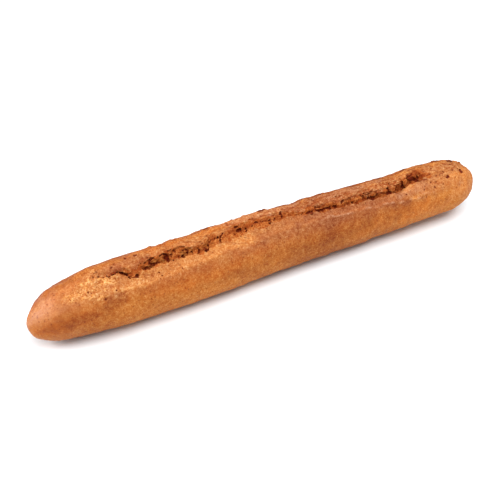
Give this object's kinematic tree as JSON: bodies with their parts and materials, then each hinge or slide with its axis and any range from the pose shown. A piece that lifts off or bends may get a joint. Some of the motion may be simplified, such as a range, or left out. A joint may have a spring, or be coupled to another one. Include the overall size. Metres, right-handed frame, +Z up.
{
  "type": "baguette",
  "caption": "Whole crusty wholegrain baguette, long and near-round in section, with one rough tear running lengthwise along its top and rounded ends.",
  "frame": {"origin": "middle of the loaf's box, on the surface that it rests on", "axes": "+X along the loaf from the slimmer end to the blunter one, +Z up; the torn crumb's high side is towards +Y"},
  "size_m": [0.5, 0.0678, 0.0642],
  "materials": {
    "crust": "baked bread crust, golden brown with a faint satin sheen, darker and rough in the tear"
  },
  "bodies": {
    "root": {"loaf": "crust"}
  },
  "joints": []
}
